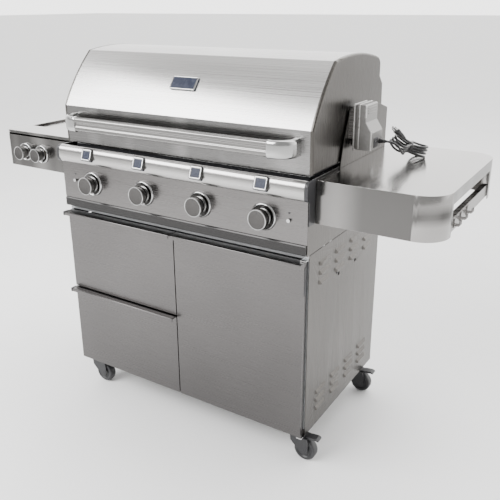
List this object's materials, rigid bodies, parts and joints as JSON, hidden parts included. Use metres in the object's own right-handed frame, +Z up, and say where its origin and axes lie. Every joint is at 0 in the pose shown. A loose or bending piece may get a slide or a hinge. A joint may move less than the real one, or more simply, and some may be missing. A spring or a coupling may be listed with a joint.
{
  "type": "gas barbecue grill",
  "caption": "Free-standing gas barbecue grill: hinged hood, control panel, side burner shelf, work shelf with tool rail, drawers and door cabinet on swivel casters.",
  "frame": {"origin": "on the floor, under the middle of the box around the grill without its power lead", "axes": "+X to the right along the width, +Y to the back, +Z up"},
  "size_m": [1.714, 0.664, 1.2625],
  "materials": {
    "stainless": "brushed, satin",
    "polished": "polished",
    "black_plastic": "matt moulded",
    "black_rubber": "satin",
    "enamel": "vitreous enamel",
    "castings": "seasoned",
    "galvanised": "plain zinc",
    "brass": "as turned",
    "motor_paint": "silver paint",
    "gauge_face": "gloss dark blue",
    "badge": "gloss dark blue in a bright rim"
  },
  "bodies": {
    "root": {"cart_base": "stainless", "left_side_panel": "stainless", "right_side_panel": "stainless", "rear_panel": "galvanised", "cabinet_frame": "galvanised", "drawer_runners": "galvanised", "hinge_pins": "polished", "firebox": "enamel", "firebox_side_panels": "stainless", "rear_housing": "galvanised", "wing_plates": "stainless", "control_panel": "stainless", "bullnose": "stainless", "trim_strip": "stainless", "end_caps": "black_plastic", "knob_bezels": "polished", "gauges": "gauge_face", "gas_manifold": "brass", "burners": "galvanised", "heat_plates": "enamel", "cooking_grates": "castings", "right_shelf": "stainless", "tool_rail": "stainless", "left_shelf": "stainless", "side_burner": "castings", "motor_bracket": "stainless", "motor_housing": "motor_paint", "strain_relief": "black_rubber", "power_cord": "black_rubber", "cord_hank": "black_rubber", "cord_plug": "black_rubber"},
    "hood": {"hood_skin": "stainless", "hood_liner": "galvanised", "hood_caps": "stainless", "handle_bar": "stainless", "handle_ends": "polished", "badge_plate": "badge"},
    "upper_drawer": {"upper_drawer": "stainless"},
    "lower_drawer": {"lower_drawer": "stainless"},
    "door": {"cabinet_door": "stainless"},
    "left_button": {"left_button": "polished"},
    "right_button": {"right_button": "polished"},
    "side_lid": {"side_burner_lid": "stainless"},
    "drip_tray": {"drip_tray": "galvanised"},
    "drive_socket": {"drive_socket": "polished"},
    "motor_switch": {"motor_switch": "black_plastic"},
    "knob_1": {"knob_1": "polished"},
    "knob_2": {"knob_2": "polished"},
    "knob_3": {"knob_3": "polished"},
    "knob_4": {"knob_4": "polished"},
    "side_knob_1": {"side_knob_1": "polished"},
    "side_knob_2": {"side_knob_2": "polished"},
    "front_left_swivel": {"front_left_fork": "black_plastic"},
    "front_left_roller": {"front_left_wheel": "black_plastic"},
    "front_right_swivel": {"front_right_fork": "black_plastic"},
    "front_right_roller": {"front_right_wheel": "black_plastic"},
    "rear_left_swivel": {"rear_left_fork": "black_plastic"},
    "rear_left_roller": {"rear_left_wheel": "black_plastic"},
    "rear_right_swivel": {"rear_right_fork": "black_plastic"},
    "rear_right_roller": {"rear_right_wheel": "black_plastic"}
  },
  "joints": [
    {"name": "hood_hinge", "type": "hinge", "parent": "root", "child": "hood", "pos_m": [0, 0.165, 1.01], "axis": [-1, 0, 0], "range_deg": [0, 88]},
    {"name": "upper_drawer_slide", "type": "slide", "parent": "root", "child": "upper_drawer", "axis": [0, -1, 0], "range_m": [0, 0.36]},
    {"name": "lower_drawer_slide", "type": "slide", "parent": "root", "child": "lower_drawer", "axis": [0, -1, 0], "range_m": [0, 0.36]},
    {"name": "door_hinge", "type": "hinge", "parent": "root", "child": "door", "pos_m": [0.469, -0.279, 0.4], "axis": [0, 0, 1], "range_deg": [0, 110]},
    {"name": "knob_1_turn", "type": "hinge", "parent": "root", "child": "knob_1", "pos_m": [-0.339, -0.31, 0.822], "axis": [0, -1, 0], "range_deg": [0, 215]},
    {"name": "knob_2_turn", "type": "hinge", "parent": "root", "child": "knob_2", "pos_m": [-0.113, -0.31, 0.822], "axis": [0, -1, 0], "range_deg": [0, 215]},
    {"name": "knob_3_turn", "type": "hinge", "parent": "root", "child": "knob_3", "pos_m": [0.113, -0.31, 0.822], "axis": [0, -1, 0], "range_deg": [0, 215]},
    {"name": "knob_4_turn", "type": "hinge", "parent": "root", "child": "knob_4", "pos_m": [0.339, -0.31, 0.822], "axis": [0, -1, 0], "range_deg": [0, 215]},
    {"name": "side_knob_1_turn", "type": "hinge", "parent": "root", "child": "side_knob_1", "pos_m": [-0.762, -0.23, 0.871], "axis": [0, -1, 0], "range_deg": [0, 215]},
    {"name": "side_knob_2_turn", "type": "hinge", "parent": "root", "child": "side_knob_2", "pos_m": [-0.675, -0.23, 0.871], "axis": [0, -1, 0], "range_deg": [0, 215]},
    {"name": "left_button_press", "type": "slide", "parent": "root", "child": "left_button", "axis": [0, 1, 0], "range_m": [0, 0.003], "stiffness_N_per_m": 400, "springref_m": -0.002},
    {"name": "right_button_press", "type": "slide", "parent": "root", "child": "right_button", "axis": [0, 1, 0], "range_m": [0, 0.003], "stiffness_N_per_m": 400, "springref_m": -0.002},
    {"name": "side_lid_hinge", "type": "hinge", "parent": "root", "child": "side_lid", "pos_m": [-0.666, 0.309, 0.934], "axis": [-1, 0, 0], "range_deg": [0, 92]},
    {"name": "drip_tray_slide", "type": "slide", "parent": "root", "child": "drip_tray", "axis": [0, 1, 0], "range_m": [0, 0.3]},
    {"name": "motor_switch_rock", "type": "hinge", "parent": "root", "child": "motor_switch", "pos_m": [0.555, -0.011, 1.011], "axis": [0, -1, 0], "range_deg": [0, 12]},
    {"name": "drive_socket_spin", "type": "hinge", "parent": "root", "child": "drive_socket", "pos_m": [0.49, 0, 1.006], "axis": [1, 0, 0], "continuous": true},
    {"name": "front_left_caster_swivel", "type": "hinge", "parent": "root", "child": "front_left_swivel", "pos_m": [-0.44, -0.232, 0.09], "axis": [0, 0, 1], "continuous": true},
    {"name": "front_left_wheel_spin", "type": "hinge", "parent": "front_left_swivel", "child": "front_left_roller", "pos_m": [-0.41, -0.232, 0.0375], "axis": [0, 1, 0], "continuous": true},
    {"name": "front_right_caster_swivel", "type": "hinge", "parent": "root", "child": "front_right_swivel", "pos_m": [0.44, -0.232, 0.09], "axis": [0, 0, 1], "continuous": true},
    {"name": "front_right_wheel_spin", "type": "hinge", "parent": "front_right_swivel", "child": "front_right_roller", "pos_m": [0.47, -0.232, 0.0375], "axis": [0, 1, 0], "continuous": true},
    {"name": "rear_left_caster_swivel", "type": "hinge", "parent": "root", "child": "rear_left_swivel", "pos_m": [-0.44, 0.228, 0.09], "axis": [0, 0, 1], "continuous": true},
    {"name": "rear_left_wheel_spin", "type": "hinge", "parent": "rear_left_swivel", "child": "rear_left_roller", "pos_m": [-0.41, 0.228, 0.0375], "axis": [0, 1, 0], "continuous": true},
    {"name": "rear_right_caster_swivel", "type": "hinge", "parent": "root", "child": "rear_right_swivel", "pos_m": [0.44, 0.228, 0.09], "axis": [0, 0, 1], "continuous": true},
    {"name": "rear_right_wheel_spin", "type": "hinge", "parent": "rear_right_swivel", "child": "rear_right_roller", "pos_m": [0.47, 0.228, 0.0375], "axis": [0, 1, 0], "continuous": true}
  ]
}
